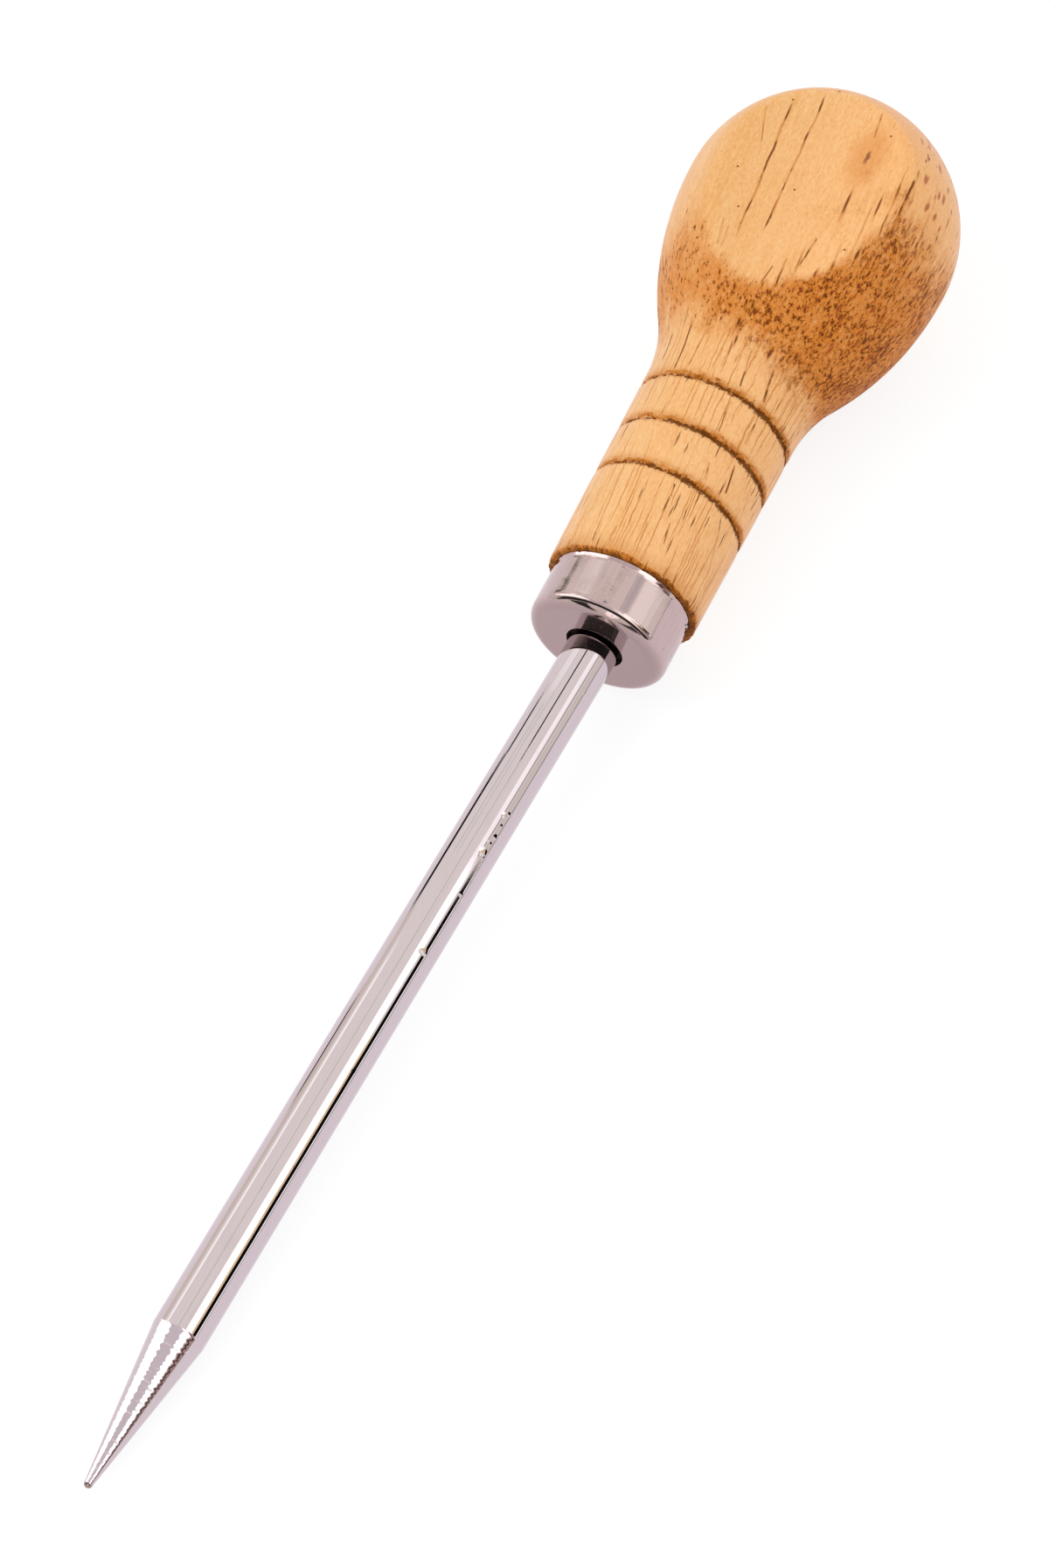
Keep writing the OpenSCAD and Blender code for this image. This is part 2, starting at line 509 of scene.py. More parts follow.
@dataclass(frozen=True)
class WoodFinish:
    """Pale open-grained hardwood under a thin satin varnish, in millimetres of the tool frame."""

    light: Colour = (0.93, 0.6, 0.3)
    pale: Colour = (0.87, 0.51, 0.22)
    warm: Colour = (0.8, 0.4, 0.125)
    rich: Colour = (0.72, 0.3, 0.075)
    # Painted light: a warm lift on the far side of the handle, where the key light falls short
    far_fill_light: Colour = (1.0, 0.5, 0.19)
    end_grain: Colour = (0.69, 0.21, 0.02)
    torn: Colour = (0.13, 0.02, 0.001)
    russet: Colour = (0.42, 0.085, 0.012)
    pore: Colour = (0.13, 0.026, 0.001)
    # Burnt wood in the grooves; also the painted shade at the groove bottoms and the painted shadow line
    # behind the ferrule
    scorch_and_shade: Colour = (0.1, 0.024, 0.002)
    singed: Colour = (0.54, 0.17, 0.012)
    # Noise of the fibres, of the end grain, of the lines, of the burnt grooves and of the painted shadow
    # behind the ferrule
    fibre_turn: float = math.radians(4.0)
    drift: Texture = Texture((0.09, 0.09, 0.03), 2.0, 0.5)
    drift_reach: Triple = (1.6, 1.6, 0.0)
    fibre: Texture = Texture((2.6, 2.6, 0.07))
    fine: Texture = Texture((6.0, 6.0, 0.5), 3.0, 0.65)
    bands: Texture = Texture((0.28, 0.28, 0.012), 2.0, 0.5)
    speckle: Texture = Texture((3.4, 3.4, 1.5), 3.0, 0.7)
    patches: Texture = Texture((0.22, 0.22, 0.22))
    fray: Texture = Texture((1.3, 1.3, 0.12), 3.0, 0.65)
    clumps: Texture = Texture((0.35, 0.35, 0.2))
    mottle: Texture = Texture((2.2, 2.2, 1.3), 3.0, 0.75)
    waver: Texture = Texture((0.7, 0.7, 0.45))
    line_waver: Texture = Texture((0.0, 0.25, 0.2), 3.0, 0.5)
    line_breaks: Texture = Texture((0.3, 0.9, 0.28), 3.0, 0.5)
    knot_edge: Texture = Texture((1.6, 1.6, 0.9), 3.0, 0.5)
    crumbs: Texture = Texture((2.6, 2.6, 2.6), 3.0, 0.75)
    ragged: Texture = Texture((1.2, 1.2, 0.9), 3.0, 0.7)
    tears: Texture = Texture((0.5, 0.5, 0.3), 3.0, 0.7)
    # Where each part of the handle begins and where it is full, by place or by slope
    far_side: Point = (9.0, -9.0)
    far_edge: Point = (-8.0, -14.0)
    far_wood: Point = (-5.0, -10.0)
    off_flat: Point = (-12.5, -11.5)
    near_flat: Point = (-9.5, -10.5)
    on_flat: Point = (-11.0, -12.0)
    neck: Point = (44.0, 37.0)
    front_slope: Point = (0.1, 0.44)
    back_slope: Point = (0.35, 0.95)
    # Painted shade: heights below the shoulder where the plug inside the ferrule is painted nearly black
    plug_shade: Point = (-0.1, -0.6)
    fine_pores: Pores = Pores((2.3, 2.3, 0.12), 0.1, 0.16)
    coarse_pores: Pores = Pores((1.45, 1.45, 0.12), 0.12, 0.2)
    neck_lines: Pores = Pores((3.6, 0.05, 1.0), 0.12, 0.24, 0.4)
    neck_dashes: Pores = Pores((1.8, 0.12, 1.0), 0.09, 0.13, 0.4)
    far_dashes: Pores = Pores((1.7, 0.3, 1.0), 0.13, 0.19, 0.4)
    neck_r: float = 9.5
    streaks: tuple[Streak, ...] = (
        Streak(4.2, 49.4, 6.2, 71.5, 0.16, 0.9), Streak(1.6, 51.3, 2.9, 73.8, 0.15, 0.9),
        Streak(7.0, 63.4, 8.8, 69.2, 0.13, 0.6), Streak(-4.9, 69.0, -4.3, 73.0, 0.15, 0.8),
        Streak(-10.9, 55.8, -10.3, 66.4, 0.12, 0.7), Streak(-11.9, 57.2, -11.5, 66.0, 0.17, 0.9),
        Streak(-9.1, 52.2, -8.5, 60.2, 0.12, 0.55), Streak(-4.2, 48.8, -4.4, 53.6, 0.14, 0.85),
        Streak(-2.7, 45.5, -2.5, 49.6, 0.15, 0.85), Streak(-1.0, 45.0, -1.4, 48.0, 0.13, 0.7),
        Streak(5.9, 48.2, 6.6, 52.2, 0.12, 0.6), Streak(5.3, 47.9, 5.7, 51.6, 0.11, 0.5),
    )
    cracks: tuple[Streak, ...] = (
        Streak(-6.9, 33.1, -5.95, 37.8, 0.19, 1.0), Streak(-7.4, 27.4, -7.15, 30.7, 0.13, 0.8),
        Streak(-8.1, 20.8, -7.4, 24.8, 0.14, 1.0), Streak(-5.15, 20.5, -4.6, 23.0, 0.13, 0.7),
        Streak(-2.55, 16.6, -2.25, 18.4, 0.12, 0.9), Streak(-11.8, 21.4, -11.0, 24.5, 0.1, 0.7),
        Streak(-12.0, 11.1, -9.1, 18.7, 0.11, 0.8), Streak(3.45, 8.0, 3.8, 11.0, 0.11, 0.8),
        Streak(1.5, 8.4, 1.45, 10.7, 0.09, 0.6), Streak(-1.75, 10.2, -1.55, 12.7, 0.09, 0.6),
        Streak(-4.45, 10.8, -3.95, 13.8, 0.11, 0.7), Streak(-3.9, 26.6, -3.35, 31.3, 0.12, 0.7),
        Streak(-0.95, 33.6, -0.6, 38.2, 0.11, 0.7), Streak(-3.6, 33.0, -2.85, 38.3, 0.13, 0.8),
        Streak(3.1, 33.3, 2.95, 39.0, 0.13, 0.8), Streak(4.8, 32.8, 5.2, 40.1, 0.14, 0.85),
        Streak(7.9, 34.8, 7.7, 38.7, 0.13, 0.8), Streak(-8.8, 33.2, -8.7, 35.8, 0.11, 0.7),
    )
    specks: tuple[Point, ...] = (
        (8.2, 59.5), (0.7, 58.8), (5.8, 54.2), (-6.6, 70.1),
        (-8.1, 53.0), (6.2, 70.9), (9.8, 50.5), (8.8, 49.1),
    )
    speck_r: float = 0.16
    knot: Point = (-5.3, 66.2)
    knot_core: Point = (0.316, 1.265)
    knot_bloom: Point = (2.83, 6.0)
    knot_ragged: float = 1.1
    groove_dark: float = 0.13
    groove_singe: float = 1.7
    relief: float = 0.12

    def fibres(self) -> Matrix:
        """Turn of the fibres against the handle's axis."""
        return Matrix.Rotation(-self.fibre_turn, 4, "X")

    def grain(self, tree: Tree, straight: NodeSocket) -> NodeSocket:
        """Coordinates along the slightly wandering fibres, from those along straight ones."""
        wander = tree.vector("SUBTRACT", tree.noise_node(straight, self.drift).outputs["Color"], (0.5,) * 3)
        return tree.vector("MULTIPLY_ADD", wander, self.drift_reach, straight)

    def around(self, tree: Tree, x: Value, y: Value) -> Value:
        """Distance round the neck from the middle of its upper side."""
        return tree.math("ARCTAN2", y, x * -1.0) * self.neck_r

    def unrolled(self, tree: Tree, grain: NodeSocket) -> NodeSocket:
        """Slightly wavy coordinates round the neck and along it.

        Args:
            tree: the material's tree.
            grain: coordinates along the fibres.
        Returns:
            The socket of the vector.
        """
        x, y, z = tree.parts(grain)
        around = self.around(tree, x, y) + tree.swing(grain, self.waver) * 0.5
        return tree.output(tree.node("CombineXYZ", None, {"X": around, "Y": z}))

    @staticmethod
    def pore_mask(
        tree: Tree, place: NodeSocket, pores: Pores, share: Number, dimensions: str = "3D"
    ) -> tuple[Value, Value]:
        """Masks of one kind of pore where the surface cuts it.

        Args:
            tree: the material's tree.
            place: coordinates along the fibres, or round the neck and along it.
            pores: number and thickness of the pores.
            share: share of the pores that are open.
            dimensions: 2D for coordinates round the neck.
        Returns:
            The open pores, and the stained wood round them.
        """
        inputs = {"Vector": tree.vector("MULTIPLY", place, pores.cells), "Scale": 1.0}
        cells = tree.node("TexVoronoi", {"voronoi_dimensions": dimensions}, inputs)
        thickness, rank, _ = tree.parts(cells.outputs["Color"])
        size = thickness * pores.spread + pores.least
        is_open = rank.rise(1.02 - share, 1.06 - share)
        off = Value(tree, cells.outputs["Distance"])
        return off.rise(size, size * pores.core) * is_open, off.rise(size * 1.8, size * 0.6) * is_open

    def line_masks(self, tree: Tree, tool: NodeSocket) -> tuple[Value, Value]:
        """Masks of the long pore lines and the specks on the upper flat, and of the cracks along the neck.

        Args:
            tree: the material's tree.
            tool: coordinates in the tool frame.
        Returns:
            The dark dashes of the lines, and the stained wood round them.
        """
        x, y, z = tree.parts(tool)
        waver = tree.swing(tool, self.line_waver) * 0.6
        broken = tree.noise(tool, self.line_breaks).rise(0.46, 0.56)
        upper = x.rise(*self.near_flat)
        across, around = y + waver, self.around(tree, x, y) + waver
        lines = sum(streak.mask(across, z) for streak in self.streaks) * upper
        lines = sum(crack.mask(around, z) for crack in self.cracks) + lines
        edge = self.speck_r ** 2
        dots = sum(((y - a) ** 2.0 + (z - b) ** 2.0).rise(edge, edge * 0.3) for a, b in self.specks)
        return lines.rise(0.35, 0.85) * broken + dots * upper, lines

    def knot_masks(self, tree: Tree, tool: NodeSocket) -> tuple[Value, Value]:
        """Masks of the small knot on the upper flat.

        Args:
            tree: the material's tree.
            tool: coordinates in the tool frame.
        Returns:
            The knot's dark core and the orange bloom round it.
        """
        x, y, z = tree.parts(tool)
        across = y - self.knot[0] + tree.swing(tool, self.knot_edge) * self.knot_ragged
        along = z - self.knot[1]
        upper = x.rise(*self.on_flat)
        core, bloom = (
            (across / half_width) ** 2.0 + (along / half_length) ** 2.0
            for half_width, half_length in (self.knot_core, self.knot_bloom)
        )
        return core.rise(1.0, 0.1) * upper, bloom.rise(1.0, 0.0) * upper

    def burns_and_shade(
        self, tree: Tree, tool: NodeSocket, grooves: tuple[float, ...], tilt: float, shoulder: float
    ) -> BurnsAndShade:
        """Masks of the burnt grooves with painted shade at their bottoms, and of the painted shadow line and
        the orange band behind the ferrule.

        Args:
            tree: the material's tree.
            tool: coordinates in the tool frame.
            grooves: heights of the grooves.
            tilt: how much the grooves rise from one side of the neck to the other.
            shoulder: height of the shoulder behind the ferrule.
        Returns:
            The masks.
        """
        _, y, height = tree.parts(tool)
        crumbs, tears = tree.swing(tool, self.crumbs), tree.swing(tool, self.tears)
        far_side = y.rise(*self.far_side)
        level = height - y * tilt + crumbs * 0.4 + tree.swing(tool, self.ragged) * 0.4
        past = [level - groove for groove in grooves]
        width = far_side * 0.24 + tears * 0.9 + crumbs * 1.6 + self.groove_dark
        above = height - shoulder + crumbs * 2.2 + tears * 1.6
        return BurnsAndShade(
            # Burnt line in each groove, partly painted shade at the groove's bottom
            groove=sum((abs(off) - width).rise(0.08, -0.08) for off in past),
            groove_halo=sum(off.rise(-0.8, 0.0) * off.rise(self.groove_singe, 0.0) for off in past),
            # Painted shadow: a ragged dark line where the wood meets the ferrule
            rim_shadow=(above + tears * 0.6 - far_side * 0.3).rise(0.1, -0.25),
            rim_halo=above.rise(2.8, -0.4),
            crumbs=crumbs,
        )

    def build(
        self, frames: ToolFrame, grooves: tuple[float, ...], tilt: float, shoulder: float
    ) -> Material:
        """Makes the material.

        Args:
            frames: where the tool lies.
            grooves: heights of the burnt grooves.
            tilt: how much the grooves rise from one side of the neck to the other.
            shoulder: height of the shoulder behind the ferrule.
        Returns:
            The material.
        """
        material = bpy.data.materials.new(Slot.WOOD.value)
        tree = Tree(material)
        tool = tree.local(frames.handle)
        grain = self.grain(tree, tree.local(frames.handle @ self.fibres()))
        x, y, height = tree.parts(tool)
        facing = tree.attribute(SLOPE)
        far_side, far_edge = y.rise(*self.far_side), y.rise(*self.far_edge)
        neck = height.rise(*self.neck)
        bulb = 1.0 - neck
        ragged = tree.swing(tool, self.patches) * 0.35 + tree.swing(grain, self.fray) * 0.35
        front_end = (ragged - facing + far_side * bulb * 0.14).rise(*self.front_slope)
        back_end = facing.rise(*self.back_slope)

        fibre, bands = tree.noise(grain, self.fibre), tree.noise(grain, self.bands)
        fine, speckle = tree.swing(grain, self.fine), tree.swing(grain, self.speckle)
        clumps, mottle = tree.swing(grain, self.clumps), tree.swing(grain, self.mottle)
        end = front_end * (clumps * 0.6 + mottle * 0.5 + far_side * 0.2 + 0.74)
        end = end + back_end * (mottle + 0.5) * 0.6
        dark_end = (mottle + clumps * 0.3 + far_side * 0.06).rise(0.05, 0.18) * front_end
        # Painted highlights: pale glinting flecks in the end grain
        end_glints = mottle.rise(-0.07, -0.2) * front_end

        coarse_share = front_end * 0.85 + far_edge * 0.35 + far_side * 0.1 + 0.02
        flecks, fleck_edges = self.pore_mask(tree, grain, self.coarse_pores, coarse_share)
        fine_share = front_end * 0.6 + neck * 0.08 + far_edge * 0.3 + 0.05
        pores, pore_edges = self.pore_mask(tree, grain, self.fine_pores, fine_share)
        unrolled = self.unrolled(tree, grain)
        neck_dashes, _ = self.pore_mask(tree, unrolled, self.neck_dashes, 0.3, "2D")
        neck_lines, _ = self.pore_mask(tree, unrolled, self.neck_lines, 0.7, "2D")
        far_dashes, _ = self.pore_mask(tree, unrolled, self.far_dashes, 0.55, "2D")
        far_dashes = far_dashes * y.rise(*self.far_wood) * x.rise(*self.off_flat) * bulb
        pores = pores.most(neck_dashes * neck)
        dashes, lines = self.line_masks(tree, tool)
        core, bloom = self.knot_masks(tree, tool)
        burns_and_shade = self.burns_and_shade(tree, tool, grooves, tilt, shoulder)

        colour = tree.mix((fibre * 0.5 + bands * 0.8 - 0.2).rise(0.2, 0.75), self.pale, self.warm)
        layers = (
            (neck * 0.22, self.light),
            # painted light: the far side lifted towards a warm, brighter colour
            (far_side * 0.55, self.far_fill_light),
            (fine.rise(0.0, 0.2) * 0.4, self.rich),
            (speckle.rise(0.0, 0.22) * 0.5, self.rich),
            (speckle.rise(0.0, -0.22) * 0.6, self.light),
            (bloom * 0.45, self.end_grain),
            (end, self.end_grain),
            (dark_end * 0.9, self.torn),
            # painted glints on the end grain
            (end_glints * 0.6, self.pale),
            (far_dashes * 0.85, self.russet),
            (neck_lines * neck * 0.8 + pore_edges * 0.6, self.singed),
            (fleck_edges * 0.6, self.singed),
            (flecks * 0.85, self.torn),
            (pores * 0.8, self.pore),
            (lines * 0.75, self.singed),
            (dashes * 0.85, self.pore),
            (core * 0.7, self.torn),
            ((burns_and_shade.groove_halo + burns_and_shade.rim_halo) * (burns_and_shade.crumbs * 1.5 + 0.55), self.singed),
            # burnt groove lines with painted shade at their bottoms, and the painted shadow line behind the
            # ferrule
            (burns_and_shade.groove * 0.8 + burns_and_shade.rim_shadow * 0.65, self.scorch_and_shade),
            # painted shade: the plug inside the ferrule painted nearly black
            ((height - shoulder).rise(*self.plug_shade) * 0.97, grey(0.0)),
        )
        for share, paint in layers:
            colour = tree.mix(share, colour, paint)

        relief = fine * 0.25 + fibre * 0.1 - pores * 0.6 - flecks * 0.6 - dashes * 0.6
        relief = relief + mottle * (front_end * 2.0 + burns_and_shade.groove_halo * 0.5)
        relief = relief + burns_and_shade.crumbs * (burns_and_shade.rim_halo + burns_and_shade.groove) * 0.6
        bare = (pores + dashes + burns_and_shade.groove).rise(0.2, 0.8)
        tree.surface({
            "Base Color": colour,
            "Roughness": fibre * 0.18 + front_end * 0.15 + burns_and_shade.groove * 0.2 + 0.36,
            "Specular IOR Level": 0.1,
            "Coat Weight": (0.35 - front_end * 0.28) * (1.0 - bare),
            "Coat Roughness": 0.22,
            "Normal": tree.bump(relief, self.relief * MM),
        })
        return material


@dataclass(frozen=True)
class SteelFinish:
    """Bright plated steel, drawn or pressed, with faint streaks and stains, and a darker band below a height:
    wear at the blade's point, painted shade on the ferrule's face.
    """

    tint: Colour
    stain: Colour
    roughness: float
    streak: float
    stained: float
    relief: float
    wear_and_shade_from: Point
    wear_and_shade_share: float
    drawn: Texture = Texture((5.0, 5.0, 0.06))
    grit: Texture = Texture((4.5, 4.5, 4.5))
    clouds: Texture = Texture((0.35, 0.35, 0.2))
    specks: Texture = Texture((2.2, 2.2, 1.2), 2.0, 0.5)

    def build(self, name: str, place: Matrix) -> Material:
        """Makes the material.

        Args:
            name: the material's name.
            place: matrix from the piece's millimetres to the row frame.
        Returns:
            The material.
        """
        material = bpy.data.materials.new(name)
        tree = Tree(material)
        own = tree.local(place)
        _, _, height = tree.parts(own)
        drawn, grit = tree.noise(own, self.drawn), tree.noise(own, self.grit)
        speck = tree.noise(own, self.specks).rise(0.7, 0.8)
        dull = (tree.noise(own, self.clouds) * 0.7 + grit * 0.3).rise(0.5, 0.72) * self.stained
        # Darker band below a height: wear at the blade's point, painted shade on the ferrule's face for the
        # dim bench it mirrors
        wear_and_shade = (height + (grit - 0.5) * 0.3).rise(*self.wear_and_shade_from) * self.wear_and_shade_share
        colour = tree.mix(dull.most(wear_and_shade), self.tint, self.stain)
        colour = tree.mix(speck * self.stained, colour, self.stain)
        colour = tree.mix((drawn - 0.5).rise(0.0, 0.25) * self.streak, colour, self.stain)
        relief = drawn * 0.6 + grit * 0.4 - speck * 1.2
        tree.surface({
            "Base Color": colour,
            "Metallic": 1.0,
            "Roughness": drawn * 0.03 + dull * 0.3 + speck * self.stained + self.roughness,
            "Normal": tree.bump(relief, self.relief * MM),
        })
        return material


# Pieces


@dataclass
class Handle:
    """Turned handle: plug in the ferrule, grooved neck, hollow, bulb with two flats and half-ball butt."""

    frames: ToolFrame
    finish: WoodFinish = field(default_factory=WoodFinish)
    segments: int = 288
    plug_r: float = 7.55
    plug_edge_r: float = 0.6
    plug_z: float = 0.85
    pocket_r: float = 2.75
    pocket_end_r: float = 1.62
    pocket_len: float = 36.06
    pocket_root_z: float = 2.05
    shoulder_z: float = 7.25
    shoulder_edge: float = 0.4
    length: float = 72.6
    neck_r: float = 9.25
    neck_back_r: float = 9.65
    bulb_r: float = 16.95
    side_r: float = 40.0
    cove_r: float = 20.5
    flat_ease: float = 2.5
    flat_round: float = 0.6
    groove_count: int = 3
    groove_first: float = 12.2
    groove_pitch: float = 6.4
    groove_depth: float = 0.26
    groove_shape: tuple[Point, ...] = (
        (-0.35, 0.0), (-0.2, 0.25), (-0.05, 1.0), (0.1, 0.92),
        (0.3, 0.58), (0.55, 0.27), (0.9, 0.07), (1.3, 0.0),
    )
    groove_step: float = 0.1
    groove_tilt: float = 0.03
    tilt_end: float = 10.0
    tilt_reach: float = 8.0
    rough_reach: float = 1.1
    uneven: Wobble = Wobble(7.0, 3.1, 0.015)
    chipped: Wobble = Wobble(0.7, 8.7, 0.12)
    wavy: Wobble = Wobble(2.2, 5.3, 0.25)
    frayed: Wobble = Wobble(0.6, 6.1, 0.3)
    step: float = 0.45

    def __post_init__(self) -> None:
        """Works out the heights where the arcs meet."""
        self.butt_z = self.shoulder_z + self.length
        self.wide_z = self.butt_z - self.bulb_r
        rise = self.neck_back_r + self.cove_r - self.bulb_r + self.side_r
        run = math.sqrt((self.cove_r + self.side_r) ** 2 - rise ** 2)
        self.swell_z = self.wide_z - run
        share = self.cove_r / (self.cove_r + self.side_r)
        self.join = (self.neck_back_r + self.cove_r - rise * share, self.swell_z + run * share)
        half_chord = math.sqrt(self.side_r ** 2 - (self.frames.flat_offset - self.bulb_r + self.side_r) ** 2)
        self.ease_z = self.wide_z - half_chord + self.flat_ease
        first = self.shoulder_z + self.groove_first
        self.grooves = tuple(first + self.groove_pitch * i for i in range(self.groove_count))
        self.rest_slope = -self.frames.handle.col[2].normalized().z

    def neck_at(self, height: float) -> float:
        """Radius of the tapered neck at a height."""
        share = (height - self.shoulder_z) / (self.swell_z - self.shoulder_z)
        return self.neck_r + (self.neck_back_r - self.neck_r) * share

    def section(self) -> Section:
        """Draws from the pocket's end, over the plug and the neck, to the butt.

        Returns:
            The half section.
        """
        section = Section(0.0, self.pocket_len)
        section.line_to(self.pocket_end_r, self.pocket_len)
        section.line_to(self.pocket_r, self.pocket_root_z, step=6.0)
        section.line_to(self.pocket_r, self.plug_z)
        section.line_to(self.plug_r - self.plug_edge_r, self.plug_z, step=1.5)
        edge_centre = (self.plug_r - self.plug_edge_r, self.plug_z + self.plug_edge_r)
        section.arc_to(edge_centre, self.plug_r, edge_centre[1], count=5)
        section.line_to(self.plug_r, self.shoulder_z, step=2.0)
        section.line_to(self.neck_r - self.shoulder_edge, self.shoulder_z, step=0.3)
        edge_z = self.shoulder_z + self.shoulder_edge
        section.arc_to((self.neck_r - self.shoulder_edge, edge_z), self.neck_r, edge_z, count=8)
        for groove in self.grooves:
            self.add_groove(section, groove)
        section.line_to(self.neck_back_r, self.swell_z, self.step)
        cove_centre = (self.neck_back_r + self.cove_r, self.swell_z)
        cove_len = math.dist(self.join, section.points[-1])
        section.arc_to(cove_centre, *self.join, round(cove_len / self.step))
        side_centre = (self.bulb_r - self.side_r, self.wide_z)
        side_len = math.dist(self.join, (self.bulb_r, self.wide_z))
        section.arc_to(side_centre, self.bulb_r, self.wide_z, round(side_len / self.step))
        ball_steps = round(self.bulb_r * math.pi / 2 / self.step)
        return section.arc_to((0.0, self.wide_z), 0.0, self.butt_z, ball_steps)

    def add_groove(self, section: Section, groove: float) -> None:
        """Draws the neck up to one groove, its steep front and its easy back.

        Args:
            section: the section so far.
            groove: height of the groove.
        """
        front = groove + self.groove_shape[0][0] - self.step
        section.line_to(self.neck_at(front), front, self.step)
        for offset, share in self.groove_shape:
            height = groove + offset
            section.line_to(self.neck_at(height) - self.groove_depth * share, height, self.groove_step)

    def shape(self, point: Vector) -> Vector:
        """Leans the pocket, eases the flats and roughens the turned surface a little.

        Args:
            point: a point of the turned mesh.
        Returns:
            The point's place in the finished handle.
        """
        radius = math.hypot(point.x, point.y)
        if radius <= self.pocket_r + NEAR and point.z <= self.pocket_len + NEAR:
            return Vector((point.x, point.y - point.z * math.tan(self.frames.lean), point.z))
        if point.z <= self.shoulder_z + NEAR:
            return point.copy()
        near = min(abs(point.z - edge) for edge in (*self.grooves, self.shoulder_z))
        rough = max(0.0, 1.0 - near / self.rough_reach)
        reach = min(point.z - self.shoulder_z, self.grooves[-1] + self.tilt_end - point.z) / self.tilt_reach
        grow = self.uneven.at(point) - self.uneven.amount
        grow += (self.chipped.at(point) - self.chipped.amount / 2) * rough
        moved = point.copy()
        moved.xy *= 1.0 + grow / radius
        moved.z += self.groove_tilt * point.y * min(1.0, max(0.0, reach))
        moved.z += (self.wavy.at(point) + self.frayed.at(point)) * rough
        limit = self.frames.flat_offset - max(0.0, self.ease_z - point.z) * abs(self.rest_slope)
        if abs(moved.x) > limit - self.flat_round:
            moved.x = math.copysign(soft_min(abs(moved.x), limit, self.flat_round), moved.x)
        return moved

    def build(self) -> None:
        """Builds the handle's mesh and dresses it."""
        mesh = self.section().turn(self.segments, self.shape)
        fibres = self.finish.fibres().to_3x3() @ Vector((0, 0, 1))
        slope = mesh.verts.layers.float.new(SLOPE)
        for vert in mesh.verts:
            vert[slope] = vert.normal.dot(fibres)
        material = self.finish.build(self.frames, self.grooves, self.groove_tilt, self.shoulder_z)
        finish_piece(mesh, Node.HANDLE, self.frames.handle, material, Slot.WOOD)


@dataclass
class Ferrule:
    """Pressed cup with a hole in its face and a slightly flared lip."""

    frames: ToolFrame
    finish: SteelFinish = SteelFinish(
        tint=(0.55, 0.43, 0.415),
        stain=(0.22, 0.14, 0.13),
        roughness=0.05,
        streak=0.22,
        stained=0.4,
        relief=0.006,
        # Painted shade: the face and the start of its bend are darkened, standing in for the shaded bench
        # they mirror
        wear_and_shade_from=(1.0, 0.0),
        wear_and_shade_share=0.42,
    )
    segments: int = 192
    outer_r: float = 8.4
    length: float = 7.2
    wall: float = 0.8
    bend_r: float = 1.4
    hole_gap: float = 0.45
    lip_flare: float = 0.12
    lip_len: float = 0.55
    edge_r: float = 0.12
    lip_edge_r: float = 0.06
    closing_gap: float = 0.02
    step: float = 0.3
    pressed: Wobble = Wobble(2.5, 1.7, 0.0012)

    def section(self) -> Section:
        """Draws from the hole's front edge round the inside and back over the outside.

        Returns:
            The half section, nearly closed.
        """
        hole, inner = self.frames.bar_r + self.hole_gap, self.outer_r - self.wall
        edge, lip_edge = self.edge_r, self.lip_edge_r
        inner_bend = self.bend_r - self.wall
        lip, lip_z = self.outer_r + self.lip_flare, self.length - lip_edge
        section = Section(hole + edge, 0.0)
        section.arc_to((hole + edge, edge), hole, edge, count=4).line_to(hole, self.wall - edge)
        section.arc_to((hole + edge, self.wall - edge), hole + edge, self.wall, count=4)
        section.line_to(inner - inner_bend, self.wall, step=1.0)
        bend_z = self.wall + inner_bend
        section.arc_to((inner - inner_bend, bend_z), inner, bend_z, count=6)
        section.line_to(inner, self.length - edge, step=1.0)
        section.arc_to((inner + edge, self.length - edge), inner + edge, self.length, count=4)
        section.line_to(lip - lip_edge, self.length, self.step)
        section.arc_to((lip - lip_edge, lip_z), lip, lip_z, count=4)
        section.line_to(self.outer_r, self.length - self.lip_len, step=0.1)
        section.line_to(self.outer_r, self.bend_r, self.step)
        section.arc_to((self.outer_r - self.bend_r, self.bend_r), self.outer_r - self.bend_r, 0.0, count=14)
        return section.line_to(hole + edge + self.closing_gap, 0.0, self.step)

    def shape(self, point: Vector) -> Vector:
        """Pressing marks: a wall that isn't quite true."""
        grow = 1.0 - abs(self.pressed.at(point))
        return Vector((point.x * grow, point.y * grow, point.z))

    def build(self) -> None:
        """Builds the ferrule's mesh and dresses it."""
        mesh = self.section().turn(self.segments, self.shape, closed=True)
        material = self.finish.build(Slot.FERRULE.value, self.frames.handle)
        finish_piece(mesh, Node.FERRULE, self.frames.handle, material, Slot.FERRULE)


@dataclass(frozen=True)
class Dent:
    """A small dent in the bar, by its height, its turn about the bar in degrees, its size and its depth."""

    height: float
    turn: float
    size: float
    depth: float

    def depth_at(self, point: Vector) -> float:
        """Measures the dent at one place.

        Args:
            point: a point of the bar's surface.
        Returns:
            The dent's depth there.
        """
        turn = math.atan2(point.y, point.x) - math.radians(self.turn)
        across = math.hypot(point.x, point.y) * ((turn + math.pi) % math.tau - math.pi)
        return self.depth * math.exp(-(across ** 2 + (point.z - self.height) ** 2) / self.size ** 2)


